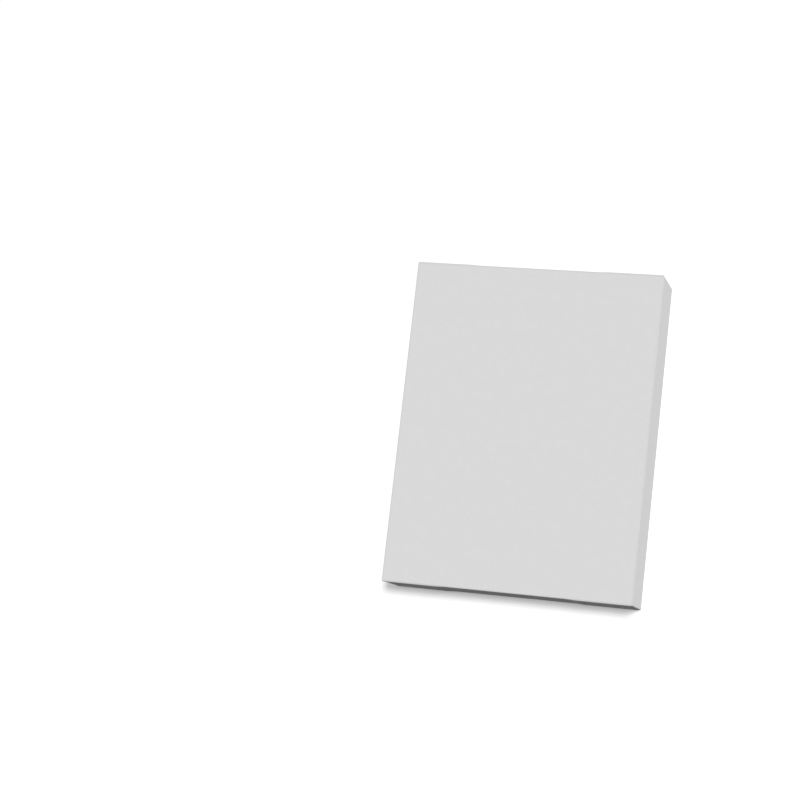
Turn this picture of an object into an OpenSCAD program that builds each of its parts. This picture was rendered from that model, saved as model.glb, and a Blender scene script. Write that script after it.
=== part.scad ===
// Ream of letter-size copy paper, sealed in its plain one-sheet wrapper.
// The pack lies on its back, with the glued lap underneath. X is across the
// sheets, Y along them, and Z up through the stack. The origin is the middle
// of the back, on the plane that the pack rests on.

/* [Paper stack] */
// Width of one sheet
sheet_w = 215.9; // [180:0.1:300]
// Length of one sheet
sheet_l = 279.4; // [200:0.1:430]
// Number of sheets in the ream
sheet_count = 500; // [250:50:600]
// Thickness of one sheet
sheet_caliper = 0.1016; // [0.09:0.0001:0.13]

/* [Wrapper tube] */
// Thickness of the wrapping paper
wrap_ply = 0.12; // [0.08:0.01:0.2]
// Outer radius of the wrapper where it bends round the stack
bend_r = 0.5; // [0.4:0.1:2]
// Distance from the middle of the back to the cut edge of the glued lap
lap_edge = 11; // [0:1:30]
// Width beside the lap over which the back comes down to the resting plane
lap_ramp = 28; // [15:1:45]

/* [End folds] */
// Thickness that each folded ply adds to an end
fold_ply = 0.24; // [0.14:0.01:0.3]
// Strip of the back flap left showing beyond the cut edge of the front flap
flap_gap = 6; // [4:0.5:10]

/* [Hidden] */
$fn = 96;

// The front is one ply thick and the back two, at its lap.
stack_h = sheet_count * sheet_caliper;
pack_w = sheet_w + 2 * wrap_ply;
pack_h = stack_h + 3 * wrap_ply;

// One blank is folded at both ends, so tucks and flaps are equally deep.
flap_d = pack_h - flap_gap;

// A tuck is one ply, and each flap adds itself and the gussets under it.
tuck_plies = 1;
back_flap_plies = tuck_plies + 2;
front_flap_plies = back_flap_plies + 2;

// Room that a cutting or clipping shape has past the surface that it meets.
spare = 1;

// Half the length of the pack over so many folded plies at each end.
function half_length(plies) = sheet_l / 2 + plies * fold_ply;

module rounded_rectangle(w, h, r) {
    square([w - 2 * r, h], center = true);
    square([w, h - 2 * r], center = true);
    for (x = [-1, 1], y = [-1, 1])
        translate([x * (w / 2 - r), y * (h / 2 - r)])
            circle(r = r);
}

// Ditch beside a lap, one ply deep at its cut edge and running out to nothing.
// It is drawn along X, under a surface that faces -Y.
module lap_ditch() {
    polygon([
        [lap_edge, -spare],
        [lap_edge, wrap_ply],
        [lap_edge + lap_ramp, 0],
        [lap_edge + lap_ramp, -spare]
    ]);
}

// Section of the tube across the stack, with the lap on its back.
module tube_section() {
    difference() {
        translate([0, pack_h / 2])
            rounded_rectangle(pack_w, pack_h, bend_r);
        lap_ditch();
    }
}

// Lays a profile that is drawn in X and Z along Y, reaching as far both ways.
module along_y(half) {
    rotate([90, 0, 0])
        linear_extrude(height = 2 * half, center = true)
            children();
}

// Tube closed at both ends, with its end creases rounded on all four sides.
module closed_tube(half) {
    intersection() {
        along_y(half + spare)
            tube_section();
        translate([0, 0, pack_h / 2])
            rotate([90, 0, 90])
                linear_extrude(height = pack_w + 2 * spare, center = true)
                    rounded_rectangle(2 * half, pack_h, bend_r);
        translate([0, 0, -spare])
            linear_extrude(height = pack_h + 2 * spare)
                rounded_rectangle(pack_w, 2 * half, bend_r);
    }
}

// Outline of an end flap: full width at its crease, drawn in by gussets
// folded at 45 degrees, and cut straight across.
module flap_outline() {
    polygon([
        [-pack_w / 2, 0],
        [pack_w / 2, 0],
        [pack_w / 2 - flap_d, flap_d],
        [-pack_w / 2 + flap_d, flap_d]
    ]);
}

// The side panels go on round the ends as tucks, under everything else.
module tube_with_tucks() {
    closed_tube(half_length(tuck_plies));
}

// Back flaps, folded up over the tucks. The lap goes on across them.
module back_flaps() {
    half = half_length(back_flap_plies);
    difference() {
        intersection() {
            closed_tube(half);
            along_y(half + spare)
                flap_outline();
        }
        for (turn = [0, 1])
            mirror([0, turn, 0])
                translate([0, -half, -spare])
                    linear_extrude(height = flap_d + 2 * spare)
                        lap_ditch();
    }
}

// Front flaps, folded down last and glued over the back flaps.
module front_flaps() {
    half = half_length(front_flap_plies);
    intersection() {
        closed_tube(half);
        along_y(half + spare)
            translate([0, pack_h])
                mirror([0, 1])
                    flap_outline();
    }
}

// A sealed pack that can't be seen into: sheets and wrapper are one solid.
module wrapped_ream() {
    color("gainsboro") {
        tube_with_tucks();
        back_flaps();
        front_flaps();
    }
}

wrapped_ream();
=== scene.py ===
# %% [markdown]
# # A wrapped ream of copy paper
#
# The object is a ream of letter-size copy paper as it comes off a packing line: 500 sheets, sealed
# in one sheet of pale, unprinted wrapping paper. The wrapper goes once round the stack and is glued
# in a lap along the back. At each short end its side panels are tucked in, the back flap is folded
# up over them, and the front flap is folded down last.
#
# The construction model comes in as a fixed frame. Everything below is in metres, in that frame: X
# is across the sheets, Y along them, and Z up through the stack, with the pack lying on its back
# at Z = 0.

# %% Load the frame
import math
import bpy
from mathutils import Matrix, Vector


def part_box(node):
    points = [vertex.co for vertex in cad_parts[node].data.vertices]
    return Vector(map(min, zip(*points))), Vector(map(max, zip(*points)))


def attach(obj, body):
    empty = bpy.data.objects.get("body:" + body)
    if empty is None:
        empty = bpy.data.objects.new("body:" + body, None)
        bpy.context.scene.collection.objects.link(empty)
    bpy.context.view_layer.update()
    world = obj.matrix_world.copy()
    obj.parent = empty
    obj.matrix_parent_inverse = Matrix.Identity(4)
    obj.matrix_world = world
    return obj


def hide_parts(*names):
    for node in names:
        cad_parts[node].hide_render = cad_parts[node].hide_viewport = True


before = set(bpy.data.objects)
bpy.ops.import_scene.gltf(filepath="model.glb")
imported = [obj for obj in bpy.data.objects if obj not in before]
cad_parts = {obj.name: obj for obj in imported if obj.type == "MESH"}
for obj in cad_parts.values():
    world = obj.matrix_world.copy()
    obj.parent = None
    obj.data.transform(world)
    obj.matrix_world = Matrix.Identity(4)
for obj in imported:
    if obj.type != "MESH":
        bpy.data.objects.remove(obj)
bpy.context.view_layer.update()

from types import SimpleNamespace

import bpy
import numpy as np
from mathutils import Matrix, Vector

MM = 0.001
low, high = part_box("wrapped_ream")
print("pack, mm:", [round((b - a) / MM, 2) for a, b in zip(low, high)])

# %% [markdown]
# ## Sizes
#
# A model that follows the real thing starts with the few numbers that the packer would know: how
# thick the wrapping paper is, how tightly it bends round the stack, and how wide the glued lap is.
# The rest is worked out from the frame's box, so that the wrapper always fits the pack.

# %% Sizes of the wrapper
wrap_ply = 0.12 * MM        # thickness of the wrapping paper
bend_radius = 0.5 * MM      # its outer radius where it bends round the stack
frame_ply = 0.24 * MM       # what the frame allows at an end for each folded ply
folded_ply = 0.20 * MM      # what a folded ply takes up here: it leaves room for lifted edges
glue_film = 0.02 * MM       # glue or air between plies that lie on each other
front_flap_plies = 5        # tuck, back gusset, back flap, front gusset and front flap
flap_gap = 6 * MM           # strip of the back flap that the front flap leaves showing
lap_edge = 11 * MM          # where the lap's cut edge lies, from the middle of the back
lap_width = 22 * MM         # how far the two edges of the sheet overlap
lap_ramp = 28 * MM          # width beside the lap over which the back comes down to the table

flat_half = (high.x - low.x) / 2 - bend_radius      # half the width of the front's flat part
top, bottom = high.z - bend_radius, bend_radius     # heights of the lines the long bends turn about
tube_half = high.y - front_flap_plies * frame_ply - bend_radius     # half the tube's length
flap_depth = top - flap_gap                         # from an end crease to a flap's cut edge
middle = flat_half - flap_depth         # how far the front's middle reaches between the gussets
print("flap depth and half of the flat middle, mm:",
      round(flap_depth / MM, 2), round(middle / MM, 2))

# %% [markdown]
# ## The wrapper as one folded sheet
#
# There are several ways to make a wrapped pack. A box with bevelled edges is the quickest, but its
# ends have no tucks. Separate plates for the flaps can be laid on a box, but then no fold joins
# them. Cloth simulation folds real sheets, but slowly, and never quite square.
#
# This wrapper is made the way the real one is: as one flat sheet, with a rule that says where each
# point of it goes when it is folded. The sheet is a grid. Its columns run along the pack and follow
# each other round it, and its rows follow each other along the pack. Both stand closer together
# near the creases, where the paper bends.

# %% Graded spacing
corner_steps = 30       # across a gusset, and down a flap
bend_steps = 6          # round a quarter bend
side_steps = 14         # up a side panel
front_steps = 44        # across the front's middle
back_steps = 26         # across each half of the back's middle
tube_steps = 76         # from one end crease to the other


def graded(start, stop, count, tightness=0.85):
    """Steps that shrink at both ends.

    As t goes from 0 to 1, they follow t less the tightness times sin(2 pi t) / (2 pi).
    """
    t = np.linspace(0, 1, count + 1)
    return start + (stop - start) * (t - tightness * np.sin(2 * np.pi * t) / (2 * np.pi))


def smooth(t):
    """An even rise from 0 to 1 as t goes from 0 to 1: three t squared less two t cubed."""
    t = np.clip(t, 0, 1)
    return t * t * (3 - 2 * t)


depths = graded(0, flap_depth, corner_steps)
print("finest and widest step in a corner, mm:",
      (np.diff(depths)[[0, corner_steps // 2]] / MM).round(2))

# %% [markdown]
# ## Columns, once round the pack
#
# The walk starts on the back, at the edge of the sheet that the lap hides. It goes to the right, up
# the right side, over the front to the left, down the left side, and back underneath to the lap's
# cut edge.
#
# Each column keeps the few facts that folding needs: its side, right or left; its inset, which is
# how far it lies in from that long edge; the height of the line that its bend turns about; which
# way the paper faces there; and whether it ends in the front flap (1), the back flap (-1) or a
# tuck (0).

# %% Columns
quarter = math.pi / 2
fact_names = ("side", "inset", "turns_about", "facing_x", "facing_z", "flap")


def run_of_columns(*facts):
    """Columns that follow each other, with a line for each fact, as long as the longest of them."""
    return np.array(np.broadcast_arrays(*np.atleast_1d(*facts)), float)


def across(x, facing):
    """Columns across the front (1) or the back (-1), at the distances x from the centre line."""
    side = np.where(x < 0, -1, 1)
    turns_about = top if facing > 0 else bottom
    return run_of_columns(side, flat_half - abs(x), turns_about, 0, facing, facing)


def round_long_edge(side, start, stop, turns_about):
    """Columns round a long edge. The paper faces the angle's sine in x and its cosine in z."""
    angle = np.linspace(start, stop, bend_steps + 1)[1:-1]
    return run_of_columns(side, 0, turns_about, side * np.sin(angle), np.cos(angle), 0)


def up_side(side, start, stop):
    """Columns up or down a side panel, between the two lines that its bends turn about."""
    return run_of_columns(side, 0, graded(start, stop, side_steps), side, 0, 0)


corner = flat_half - depths         # from the long edge to the middle, on the right
runs = [
    across(graded(lap_edge - lap_width, middle, back_steps)[:-1], -1),
    across(corner[::-1], -1),
    round_long_edge(1, 2 * quarter, quarter, bottom),
    up_side(1, bottom, top),
    round_long_edge(1, quarter, 0, top),
    across(corner, 1),
    across(graded(middle, -middle, front_steps)[1:-1], 1),
    across(-corner[::-1], 1),
    round_long_edge(-1, 0, quarter, top),
    up_side(-1, top, bottom),
    round_long_edge(-1, quarter, 2 * quarter, bottom),
    across(-corner, -1),
    across(graded(-middle, lap_edge, back_steps)[1:], -1),
]
facts = dict(zip(fact_names, np.concatenate(runs, axis=1)))
column = SimpleNamespace(**{name: values[:, None] for name, values in facts.items()})
in_order = np.arange(len(column.side))[:, None]
column.goes_under_lap = in_order < runs[0].shape[1] + runs[1].shape[1]
column.ends_in_lap = in_order >= len(column.side) - runs[-1].shape[1]
print("columns round the pack:", len(column.side))

# %% [markdown]
# ## Rows, from one cut end of the sheet to the other
#
# The middle rows make the tube. At each end come a few rows for the bend of the end crease, and
# then the rows of the flaps. The flap rows have the same spacing as the corner columns, so that the
# folds at 45 degrees, where both distances are equal, always run through the corners of the grid.

# %% Rows
tube_y = graded(-tube_half, tube_half, tube_steps, tightness=0.94)
bend_angle = np.linspace(0, quarter, bend_steps + 1)[1:]
end_angle = np.concatenate([bend_angle, np.full(corner_steps, quarter)])
end_depth = np.concatenate([np.zeros(bend_steps), depths[1:]])
end_y = np.full(len(end_angle), tube_half)
in_tube = 0 * tube_y        # in the tube a row isn't turned, nor past a crease


def both_ends(at_end, between):
    """One end's values in mirrored order, those between the ends, and the other end's values."""
    return np.concatenate([at_end[::-1], between, at_end])[None]


row = SimpleNamespace()
row.angle = both_ends(end_angle, in_tube)
row.depth = both_ends(end_depth, in_tube)
row.y =np.concatenate([-end_y, tube_y, end_y])[None]
row.end = np.sign(row.y)
row.from_end = tube_half - abs(row.y)
print("rows along the sheet:", row.y.shape[1])

# %% [markdown]
# ## The folding rule
#
# Past an end crease, a point of the sheet has two distances: its depth, which is how far it lies
# past the crease, and its inset from the long edge. Folding along the 45 degree line swaps them. So
# the folded point lies as far from the side as the larger of the two, and as far down from the
# crease as the smaller. Where the depth is the larger, the sheet has gone round the fold, and is
# the gusset under its own flap.
#
# A fold in real paper isn't a sharp line: the sheet goes round a small half circle, called the hem
# here. The columns beside the fold are drawn in towards it, so that the hem gets points of its own.

# %% Folding the ends
hem_radius = folded_ply - glue_film / 2     # half of what a flap lies above its own gusset
drawn_in_steps = 4          # within this many steps of a fold, the columns are drawn in
drawn_in_power = 1.3        # the more it is above 1, the closer they gather at the fold
diagonal = math.sqrt(2)     # of a square with sides of 1, for distances from a 45 degree line


def steps_in(distance):
    """How many steps of the corner's spacing a distance takes.

    Past the last of them, it counts in steps as long as that one.
    """
    last_step = depths[-1] - depths[-2]
    within = np.interp(distance, depths, np.arange(len(depths)))
    return within + np.maximum(distance - depths[-1], 0) / last_step


def drawn_in(inset, depth):
    """The inset, drawn in towards the depth where they are a few steps apart.

    Their gap is scaled by a power of the share of those steps. The reach is smaller beside the
    corner, and nothing at it.
    """
    column_steps, row_steps = steps_in(inset), steps_in(depth)
    apart = abs(column_steps - row_steps)
    reach = np.minimum(drawn_in_steps, np.minimum(column_steps, row_steps))
    share = np.where(apart < reach, (apart / np.maximum(reach, 1)) ** drawn_in_power, 1)
    return depth + (inset - depth) * share


def fold_ends(column, row):
    """Where each point lies once the ends are folded.

    From the side it lies the larger of inset and depth, and from the crease the smaller. Within a
    quarter turn of the hem, the way across the fold goes as the hem's cosine, which pulls the fold
    line in.
    """
    inset = np.where(column.flap != 0, drawn_in(column.inset, row.depth), column.inset)
    past_fold = (row.depth - inset) / diagonal      # less than 0 on the flap, more on the gusset
    hem_turn = np.clip(past_fold / hem_radius, -quarter, quarter)
    pulled_in = hem_radius * (quarter - np.cos(hem_turn) - abs(hem_turn)) / diagonal
    pulled_in = np.where((column.flap != 0) & (row.depth > 0), pulled_in, 0)
    from_crease = np.minimum(inset, row.depth)
    return SimpleNamespace(
        inset=inset, past_fold=past_fold, hem_turn=hem_turn, from_crease=from_crease,
        x=column.side * (flat_half - np.maximum(inset, row.depth) - pulled_in),
        z=column.turns_about - column.flap * (from_crease - pulled_in))


folded = fold_ends(column, row)
print("sheet drawn in beside the folds by up to, mm:",
      round(float(abs(folded.inset - column.inset).max()) / MM, 2))

# %% [markdown]
# ## How high each ply lies
#
# The folded plies lie on each other, so an end isn't flat. Where the front flap lies on the back
# one, there are five plies in the corners and two in the middle, the flap itself counted. A ply
# slopes gently down from the edge of what it lies on, because paper doesn't follow a small step.
# The front flap's folded edges aren't glued, and spring up a little.

# %% Height of the plies over the end of the stack
tuck_slope = 12 * MM        # a flap comes down over this much beside the edge of a tuck
fold_slope = 3.5 * MM       # and over this much beside a folded edge of the back flap
cut_slope = 2.5 * MM        # and over this much beside its cut edge
lift_on_back_flap = 0.17 * MM   # how far a folded edge springs up where it lies on the back flap
lift_clear_of_it = 0.26 * MM    # and how much further where it is clear of that flap
lift_width = 6 * MM         # how far in from a folded edge the lift fades
lift_skew = 0.8             # below 1, the edge lifts most a little nearer to the crease


def ply_height(column, folded):
    """Height of the sheet over the end of the stack.

    The flap lies on one folded ply for each sheet under it, and the gusset under the flap on what
    is left. Between them the height goes as the sine round the hem. The lift goes as half a sine
    wave down the folded edge, and as a bell curve away from it.
    """
    reach = abs(folded.x)
    over_tuck = smooth((reach - middle) / tuck_slope + 1)
    back_fold = (flat_half - (folded.z - bottom) - reach) / diagonal
    back_cut = bottom + flap_depth - folded.z
    over_back = smooth(back_fold / fold_slope + 1) * smooth(back_cut / cut_slope + 1)
    upper_side = (column.flap == 0) & (column.turns_about > high.z / 2)
    over_back = np.where((column.flap > 0) | upper_side, over_back, 0)

    down_edge = np.sin(np.pi * np.clip(folded.from_crease / flap_depth, 0, 1) ** lift_skew)
    lift = (lift_on_back_flap + lift_clear_of_it * (1 - over_back)) * down_edge
    lift = np.where(column.flap > 0, lift * np.exp(-(folded.past_fold / lift_width) ** 2), 0)

    flap = folded_ply * (1 + over_back + over_tuck * (2 + over_back)) + lift
    gusset = folded_ply * (1 + 2 * over_back) + glue_film + lift
    height = (flap + gusset) / 2 - (flap - gusset) / 2 * np.sin(folded.hem_turn)
    share_of_tuck = np.where(column.flap == 0, column.facing_x ** 2, 0)
    return height + (folded_ply - height) * share_of_tuck


height = ply_height(column, folded)
print("lowest and highest ply, mm:", (np.array([height.min(), height.max()]) / MM).round(2))

# %% [markdown]
# ## The lap, and what loose paper does
#
# On the back, the sheet's first edge is covered by its last one. Beside the lap's cut edge the
# covered ply stands one thickness off the table, and it comes down over a few centimetres.
#
# The wrapper is drawn tight over the stack. Near the ends it is a little loose, so it ripples there
# by a few hundredths of a millimetre, which shows only where light grazes it.

# %% Sinking in from the plain tube
loose_depth = 0.05 * MM     # how deep the ripple is at most
loose_reach = 30 * MM       # how far from the end crease the front is loose
ripple_length = 23 * MM     # from one wave of the ripple to the next
held_by_crease = 2 * MM     # how far the end crease holds the front down
held_by_edge = 8 * MM       # and how far the long edges hold it


def wave(x, y, way, length, start):
    """The sine of 2 pi times how many wavelengths along its way a point lies, plus its start."""
    return np.sin(2 * np.pi * (way[0] * x + way[1] * y) / length + start)


def ripple(x, y, length):
    """Uneven waves from 0 to 1: a half, plus a quarter of each of two waves that cross."""
    first = wave(x, y, (1, 0.31), length, start=0.7)
    second = wave(x, y, (-0.47, 0.62), 1.37 * length, start=2.1)
    return 0.5 + 0.25 * (first + second)


def sinking(column, row, folded):
    """How far the surface lies in from the plain tube.

    It is one ply beside the lap, running out with a smooth step, and the ripple times how loose
    the front is, which fades towards the end crease and the long edges.
    """
    x = column.side * (flat_half - folded.inset)
    lap_step = (wrap_ply + glue_film) * (1 - smooth((x - lap_edge) / lap_ramp))
    loose = loose_depth * smooth(1 - row.from_end / loose_reach)
    loose = loose * smooth(row.from_end / held_by_crease)
    loose = loose * (smooth(folded.inset / held_by_edge) * (column.flap > 0))
    return np.where(column.goes_under_lap, lap_step, 0) + loose * ripple(x, row.y, ripple_length)


sink = sinking(column, row, folded)
print("deepest, mm:", round(float(sink.max()) / MM, 3))

# %% [markdown]
# ## The folded sheet
#
# One formula now places every point. From the line that its bend turns about, it goes out by the
# bend's radius: across the pack by the cosine of the end crease's angle, and along it by the sine.
# In the tube that angle is 0 and on the ends it is 90 degrees. At the corners, the long bends and
# the end bends meet in an eighth of a ball.

# %% Points of the folded sheet
def folded_sheet(column, row, folded, height, sink):
    """Every point of the sheet.

    It is the folded place, plus the bend's radius along the way that the paper faces times the
    cosine of the crease's angle, and beyond the end of the tube the radius and the height times
    its sine.
    """
    out = (bend_radius - sink) * np.cos(row.angle)
    x = folded.x + column.facing_x * out
    z = folded.z + column.facing_z * out
    y = row.y + row.end * (bend_radius + height - sink) * np.sin(row.angle)
    return np.stack([x, y, z], axis=-1)


points = folded_sheet(column, row, folded, height, sink)
extent = points.reshape(-1, 3)
print("reaches, mm:", (extent.min(axis=0) / MM).round(2), (extent.max(axis=0) / MM).round(2))

# %% [markdown]
# ## The flat sheet, and how near the creases are
#
# The paper's own grain follows the sheet and not the room, so the mesh gets a map of where each
# point lay on the flat sheet. It also gets one number for each point that is 1 on a crease or a cut
# edge and fades beside it. The coat is broken there, so the material makes the paper a little
# duller, and it also paints a shade there, a little darker than the pulp.

# %% Flat map and creases
crease_width = 0.4 * MM     # how far beside a crease its mark fades


def flat_map(column, row, folded, points):
    """Flat coordinates of every point.

    They are the way walked round the tube's middle, plus what the column was drawn in, and the way
    along the tube, plus the bend's arc and the depth past the end crease.
    """
    section = points[:, points.shape[1] // 2, ::2]      # x and z, round the tube's middle
    steps = np.linalg.norm(np.diff(section, axis=0), axis=-1)
    walked = np.concatenate([[0], np.cumsum(steps)])[:, None]
    inwards = np.where(column.flap * column.side > 0, 1, -1)
    u = walked + inwards * (folded.inset - column.inset)
    v = row.y + row.end * (bend_radius * row.angle + row.depth)
    return np.stack(np.broadcast_arrays(u, v - v.min()), axis=-1)


def nearness_to_crease(column, row, folded):
    """1 on a crease or a cut edge, and fading beside it.

    It is the exponential of minus the distance to the nearest of them, over a crease's width.
    """
    far = flap_depth
    on_flap = (column.flap != 0) & (row.depth > 0)
    x = column.side * (flat_half - folded.inset)
    up_or_down = np.minimum(column.turns_about - bottom, top - column.turns_about)
    distances = np.broadcast_arrays(
        np.where(column.flap != 0, folded.inset, up_or_down),               # a long crease
        np.where(row.angle > 0, row.depth, row.from_end),                   # an end crease
        np.where(on_flap, abs(folded.past_fold), far),                      # a fold at 45 degrees
        np.where(on_flap, flap_depth - row.depth, far),                     # the cut end of a flap
        np.where(column.ends_in_lap, abs(x - lap_edge), far))               # the lap's cut edge
    return np.exp(-np.minimum.reduce(distances) / crease_width)


flat = flat_map(column, row, folded, points)
crease = nearness_to_crease(column, row, folded)
print("flat sheet, mm:", (np.ptp(flat.reshape(-1, 2), axis=0) / MM).round(1))

# %% [markdown]
# ## The mesh
#
# Each cell of the grid becomes two triangles. In the corners the cut between them has to follow the
# fold, or the fold would come out as a row of teeth. Which diagonal that is depends on whether the
# columns go in towards the middle or out, and on which end of the pack the row belongs to.

# %% Mesh of the folded sheet
def sheet_mesh(name, points, flat, crease, rising):
    """A grid of points as triangles, cut along the rising or the falling diagonal of each cell."""
    index = np.arange(points.shape[0] * points.shape[1]).reshape(points.shape[:2])
    a, b, c, d = index[:-1, :-1], index[:-1, 1:], index[1:, 1:], index[1:, :-1]
    cut_rising = np.stack([np.stack([a, b, c], -1), np.stack([a, c, d], -1)], -2)
    cut_falling = np.stack([np.stack([a, b, d], -1), np.stack([b, c, d], -1)], -2)
    triangles = np.where(rising[..., None, None], cut_rising, cut_falling).reshape(-1, 3)
    mesh = bpy.data.meshes.new(name)
    mesh.from_pydata(points.reshape(-1, 3).tolist(), [], triangles.tolist())
    mesh.update()
    mesh.polygons.foreach_set("use_smooth", np.ones(len(mesh.polygons), bool))
    flat_corners = flat.reshape(-1, 2)[triangles.ravel()].astype(np.float32)
    mesh.uv_layers.new(name="flat_sheet").data.foreach_set("uv", flat_corners.ravel())
    nearness = mesh.attributes.new("crease", "FLOAT", "POINT")
    nearness.data.foreach_set("value", crease.astype(np.float32).ravel())
    return mesh


def in_scene(name, data):
    """An object made of the data, linked to the scene."""
    made = bpy.data.objects.new(name, data)
    bpy.context.scene.collection.objects.link(made)
    return made


goes_in = np.diff(facts["inset"]) > 0
at_far_end = row.y[0, :-1] + row.y[0, 1:] > 0
rising = goes_in[:, None] == at_far_end
wrapper = in_scene("ream_wrapper", sheet_mesh("ream_wrapper", points, flat, crease, rising))
print("triangles in the sheet:", len(wrapper.data.polygons))

# %% [markdown]
# ## Thickness
#
# Blender's Solidify gives the sheet its 0.12 mm, inwards from the face that shows, and closes its
# cut edges. It is applied here, so that the finished mesh is what everything else sees. Edges that
# turn by more than the sharp angle stay crisp, and everything else is shaded smooth. They are the
# cut edges and the hems of the folds, which would otherwise shade a band of the flap beside them.

# %% Thickness of the paper
sharp_angle = math.radians(38)

solidify = wrapper.modifiers.new("paper_thickness", "SOLIDIFY")
solidify.thickness = wrap_ply
solidify.offset = -1
with bpy.context.temp_override(object=wrapper, active_object=wrapper):
    bpy.ops.object.modifier_apply(modifier=solidify.name)
wrapper.data.set_sharp_from_angle(angle=sharp_angle)
print("triangles with thickness:", sum(len(p.vertices) - 2 for p in wrapper.data.polygons))

# %% [markdown]
# ## The wrapping paper
#
# Ream wrap is bleached, machine-finished paper with a thin coat that keeps damp out. To the eye it
# is an even, pale grey-white and matt, with only a trace of sheen at a glancing angle. Held close,
# it is faintly cloudy, because the pulp doesn't lie quite evenly, and it has short fibres. They lie
# roughly the way the machine ran, and cross each other at a slant. Along the creases and cut edges
# the coat is broken, so the paper is a little duller there. Its colour there is a painted shade, a
# little darker grey, which tones down the light that the bends catch.
#
# Clouds, fibres and a slight swell are noise on the flat map, so that the grain turns round the
# bends with the paper.

# %% Colours and nodes
def linear(code):
    """An sRGB hex colour as linear values.

    A value is divided by 12.92 when dark, and is otherwise ((v + 0.055) / 1.055) to the 2.4.
    """
    value = np.array([int(code[i:i + 2], 16) for i in (1, 3, 5)]) / 255
    value = np.where(value <= 0.04045, value / 12.92, ((value + 0.055) / 1.055) ** 2.4)
    return (*value, 1.0)


def add_node(owner, kind, inputs=None, **settings):
    """Adds a node, gives it its settings, and links or fills its inputs."""
    node = owner.node_tree.nodes.new(kind)
    for key, value in settings.items():
        setattr(node, key, value)
    for key, value in (inputs or {}).items():
        if isinstance(value, bpy.types.NodeSocket):
            owner.node_tree.links.new(value, node.inputs[key])
        else:
            node.inputs[key].default_value = value
    return node


def empty_material(name):
    """A material with no nodes yet."""
    material = bpy.data.materials.new(name)
    material.use_nodes = True
    material.node_tree.nodes.clear()
    return material


print("mid grey, #808080, as a linear value:", round(float(linear("#808080")[0]), 3))

# %% Bleached ream wrap
cloud_size = 9 * MM             # clouds in the pulp are 5 to 10 mm across
fibre_width = 0.4 * MM          # real ones are 0.03 mm wide: drawn coarser so that they show
fibre_length = 2 * MM
fibre_lean = math.radians(35)   # how far they lie from the way the machine ran, to either side
fibre_contrast = 0.026          # how much lighter or darker a fibre makes the pulp
fibre_height = 0.05 * MM
swell_size = 32 * MM            # how broadly the sheet swells between the places where it is held
swell_height = 0.3 * MM
cloud_noise = (0.3, 0.7)        # between these lies nearly all of the noise of the clouds
fibre_noise = (0.42, 0.68)      # and between these the higher of the two noises of the fibres
# The pulp's two tones differ at random. The crease colour is painted shade, darker than the pulp.
thin_pulp, thick_pulp, painted_crease_shade = linear("#DADADA"), linear("#DCDCDC"), linear("#D2D2D2")


def bleached_ream_wrap():
    """Bleached kraft paper, machine-finished, with a thin damp-proof coat: pale, even and matt."""
    m = empty_material("bleached_ream_wrap_paper")
    sheet = add_node(m, "ShaderNodeUVMap", uv_map="flat_sheet").outputs["UV"]
    creases = add_node(m, "ShaderNodeAttribute", attribute_name="crease").outputs["Fac"]

    def leaning(lean):
        """Noise as wide and as long as the fibres, turned by their lean."""
        laid = add_node(m, "ShaderNodeMapping", {
            "Vector": sheet,
            "Rotation": (0, 0, lean),
            "Scale": (fibre_width, fibre_length, 1)}, vector_type="TEXTURE")
        noise = add_node(m, "ShaderNodeTexNoise", {
            "Vector": laid.outputs["Vector"], "Scale": 1, "Detail": 3})
        return noise.outputs["Fac"]

    # Clouds and fibres tint the pulp. On a crease or a cut edge both give way to a painted shade, a
    # little darker grey, which tones down the light that the bends catch.
    clouds = add_node(m, "ShaderNodeTexNoise", {
        "Vector": sheet, "Scale": 1 / cloud_size, "Detail": 4, "Roughness": 0.6})
    fibres = add_node(m, "ShaderNodeMath", {
        0: leaning(fibre_lean), 1: leaning(-fibre_lean)}, operation="MAXIMUM")
    cloud_tone = add_node(m, "ShaderNodeMapRange", {
        "Value": clouds.outputs["Fac"], "From Min": cloud_noise[0], "From Max": cloud_noise[1]})
    pulp = add_node(m, "ShaderNodeMix", {
        "Factor": cloud_tone.outputs["Result"], "A": thin_pulp, "B": thick_pulp}, data_type="RGBA")
    fibre_tone = add_node(m, "ShaderNodeMapRange", {
        "Value": fibres.outputs["Value"], "From Min": fibre_noise[0], "From Max": fibre_noise[1],
        "To Min": 1 - fibre_contrast, "To Max": 1 + fibre_contrast})
    flecked = add_node(m, "ShaderNodeMix", {
        "Factor": 1.0, "A": pulp.outputs[2], "B": fibre_tone.outputs["Result"]},
        data_type="RGBA", blend_type="MULTIPLY")
    colour = add_node(m, "ShaderNodeMix", {
        "Factor": creases, "A": flecked.outputs[2], "B": painted_crease_shade}, data_type="RGBA")
    dullness = add_node(m, "ShaderNodeMapRange", {"Value": creases, "To Min": 0.92, "To Max": 0.97})

    # The sheet swells broadly, and the fibres stand out a little on top of that.
    swell = add_node(m, "ShaderNodeTexNoise", {
        "Vector": sheet, "Scale": 1 / swell_size, "Detail": 1})
    swollen = add_node(m, "ShaderNodeBump", {
        "Height": swell.outputs["Fac"], "Strength": 0.16, "Distance": swell_height})
    grain = add_node(m, "ShaderNodeBump", {
        "Height": fibres.outputs["Value"], "Strength": 0.2, "Distance": fibre_height,
        "Normal": swollen.outputs["Normal"]})
    paper = add_node(m, "ShaderNodeBsdfPrincipled", {
        "Base Color": colour.outputs[2],
        "Roughness": dullness.outputs["Result"],
        "IOR": 1.5,
        "Specular IOR Level": 0.04,
        "Normal": grain.outputs["Normal"]})
    add_node(m, "ShaderNodeOutputMaterial", {"Surface": paper.outputs["BSDF"]})
    return m


wrapper.data.materials.append(bleached_ream_wrap())
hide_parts("wrapped_ream")
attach(wrapper, "root")
print("materials:", [m.name for m in wrapper.data.materials])

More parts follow.
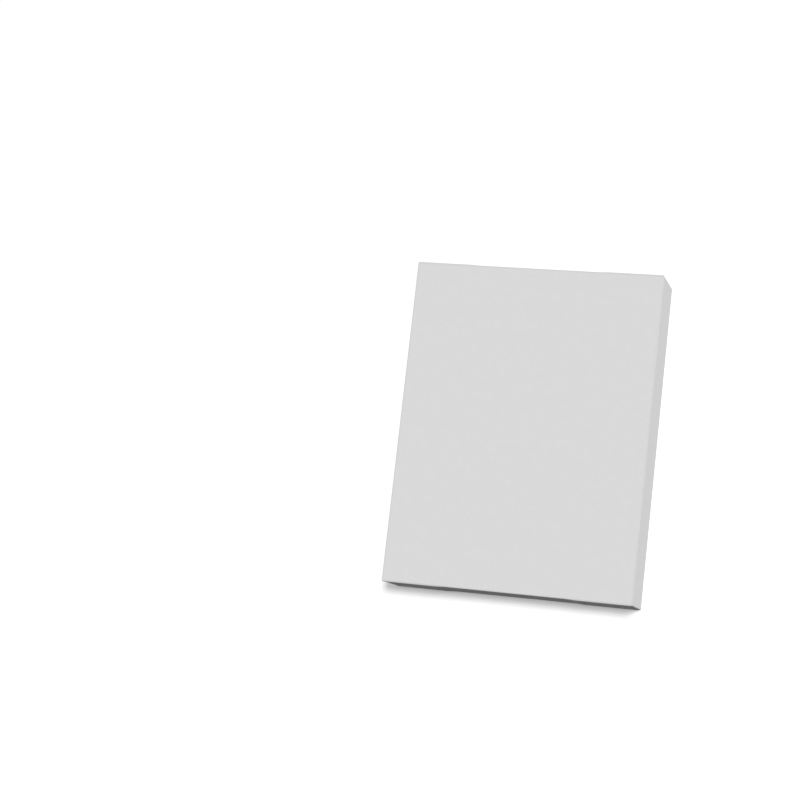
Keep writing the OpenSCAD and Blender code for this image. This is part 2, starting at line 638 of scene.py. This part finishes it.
# %% [markdown]
# ## The table
#
# The pack lies on a plain white table. Where something looks at it, the camera or a gloss, the
# table is white paper with a little glow added, so that the open table comes out pure white and the
# pack's soft shadow stays on it. To the rays that carry light it is a dark card, so that it doesn't
# throw much light up at the sides of the pack.

# %% Table
table_glow = 0.36
white_paper, dark_card = linear("#F3F3F3"), linear("#4C4C4C")


def looked_at(owner):
    """1 for a ray that looks at something, and 0 for any other.

    It is the larger of three: from the camera, by way of a gloss, and by way of glass.
    """
    rays = add_node(owner, "ShaderNodeLightPath").outputs
    mirrored = add_node(owner, "ShaderNodeMath", {
        0: rays["Is Glossy Ray"], 1: rays["Is Transmission Ray"]}, operation="MAXIMUM")
    looked = add_node(owner, "ShaderNodeMath", {
        0: rays["Is Camera Ray"], 1: mirrored.outputs[0]}, operation="MAXIMUM")
    return looked.outputs[0]


def white_table():
    """White where it is looked at, with the shadow kept, and dark grey to every other ray."""
    m = empty_material("white_table")
    lit = add_node(m, "ShaderNodeBsdfDiffuse", {"Color": white_paper})
    glow = add_node(m, "ShaderNodeEmission", {"Color": (1, 1, 1, 1), "Strength": table_glow})
    white = add_node(m, "ShaderNodeAddShader", {
        0: lit.outputs["BSDF"], 1: glow.outputs["Emission"]})
    dark = add_node(m, "ShaderNodeBsdfDiffuse", {"Color": dark_card})
    table = add_node(m, "ShaderNodeMixShader", {
        0: looked_at(m), 1: dark.outputs["BSDF"], 2: white.outputs["Shader"]})
    add_node(m, "ShaderNodeOutputMaterial", {"Surface": table.outputs["Shader"]})
    return m


def table_top(half_size, z):
    """A square of four points that faces up."""
    mesh = bpy.data.meshes.new("table")
    outline = np.array([(-1, -1), (1, -1), (1, 1), (-1, 1)]) * half_size
    mesh.from_pydata(np.column_stack([outline, np.full(4, z)]).tolist(), [], [(0, 1, 2, 3)])
    mesh.materials.append(white_table())
    return in_scene("table", mesh)


table = table_top(half_size=3.0, z=-0.05 * MM)
print("table, m:", table.dimensions[:2])

# %% [markdown]
# ## Light
#
# The main light is a broad one, nearly overhead, from the right and a little behind. It makes the
# short soft shadow at the foot of the pack. A low light from the right lights the long side nearly
# as brightly as the front, and a weaker one from the far left keeps the sides behind readable. A
# third low one, from the left, only grazes the near end, which stays in shade as in the photograph,
# and draws its folds. These three are flagged off the table, as a photographer would do, so they
# cast no shadow on it.
#
# The strengths add up to about 1 on the front, so that the paper's colour comes out as it is
# written.

# %% Lamps
def direction(azimuth, elevation):
    """The way towards a place in the sky.

    Azimuth is clockwise from +Y seen from above, and elevation is the height over the table, both
    in degrees. X is the sine of the azimuth and Y its cosine, each times the cosine of the
    elevation, and Z is the sine of the elevation.
    """
    turn, rise = math.radians(azimuth), math.radians(elevation)
    along_table = math.cos(rise)
    return Vector((math.sin(turn) * along_table, math.cos(turn) * along_table, math.sin(rise)))


def sun(name, azimuth, elevation, strength, softness):
    """A sun lamp that shines from a place in the sky.

    Softness is its width in the sky, in degrees. A strength of 1 lights a facing surface fully.
    """
    lamp = bpy.data.lights.new(name, "SUN")
    lamp.energy = strength * math.pi
    lamp.angle = math.radians(softness)
    holder = in_scene(name, lamp)
    holder.rotation_euler = direction(azimuth, elevation).to_track_quat("Z", "Y").to_euler()
    return holder


key_light = sun("key_light", azimuth=66.8, elevation=76.2, strength=0.671, softness=10)
flagged_lamps = [
    sun("side_light", azimuth=84, elevation=12, strength=0.67, softness=24),
    sun("fill_light", azimuth=310, elevation=12, strength=0.36, softness=24),
    sun("near_light", azimuth=256, elevation=8, strength=0.28, softness=6),
]
lit_by_flagged_lamps = bpy.data.collections.new("lit_by_flagged_lamps")
lit_by_flagged_lamps.objects.link(wrapper)
for flagged in flagged_lamps:
    flagged.light_linking.receiver_collection = lit_by_flagged_lamps
print("lamps:", [lamp.name for lamp in (key_light, *flagged_lamps)])

# %% [markdown]
# ## Surroundings
#
# Around the table everything is white where it is looked at, with a strength of 1. For light it is
# only a weak, even glow, so that the lamps give the pack its form.

# %% World
weak_glow = 0.08

world = bpy.data.worlds.new("studio")
world.use_nodes = True
world.node_tree.nodes.clear()
strength = add_node(world, "ShaderNodeMapRange", {
    "Value": looked_at(world), "To Min": weak_glow, "To Max": 1.0})
white = add_node(world, "ShaderNodeBackground", {
    "Color": (1, 1, 1, 1), "Strength": strength.outputs["Result"]})
add_node(world, "ShaderNodeOutputWorld", {"Surface": white.outputs["Background"]})
bpy.context.scene.world = world
bpy.context.scene.view_settings.view_transform = "Standard"
print("glow of the surroundings, looked at and for light:", 1.0, weak_glow)

# %% [markdown]
# ## Camera
#
# The camera stands where the photograph's stood, seen from the pack: the front nearly square on, a
# narrow strip of the long side at the right, and a thin line of the end below. The pack lies to the
# right of the picture's middle, so the camera aims at a point just past its left side, halfway up.

# %% Camera
camera_azimuth = 117.53      # clockwise from +Y, seen from above, degrees
camera_elevation = 71.94     # over the table, degrees
camera_roll = -57.00         # about its own axis, degrees
camera_distance = 1.7789     # from the point that it aims at
camera_aim = Vector((-0.1177, 0.0209, 0.0255))
focal_length = 91.00         # mm
sensor_width = 36            # mm

towards = direction(camera_azimuth, camera_elevation)
roll = math.radians(camera_roll)
level = Vector((0, 0, 1)).cross(towards).normalized()
right = level * math.cos(roll) + towards.cross(level) * math.sin(roll)
up = towards.cross(right)

camera = in_scene("camera", bpy.data.cameras.new("camera"))
camera.data.lens = focal_length
camera.data.sensor_width = sensor_width
axes = Matrix((right, up, towards)).transposed().to_4x4()
camera.matrix_world = Matrix.Translation(camera_aim + towards * camera_distance) @ axes
bpy.context.scene.camera = camera
print("camera at, m:", [round(c, 3) for c in camera.matrix_world.translation])
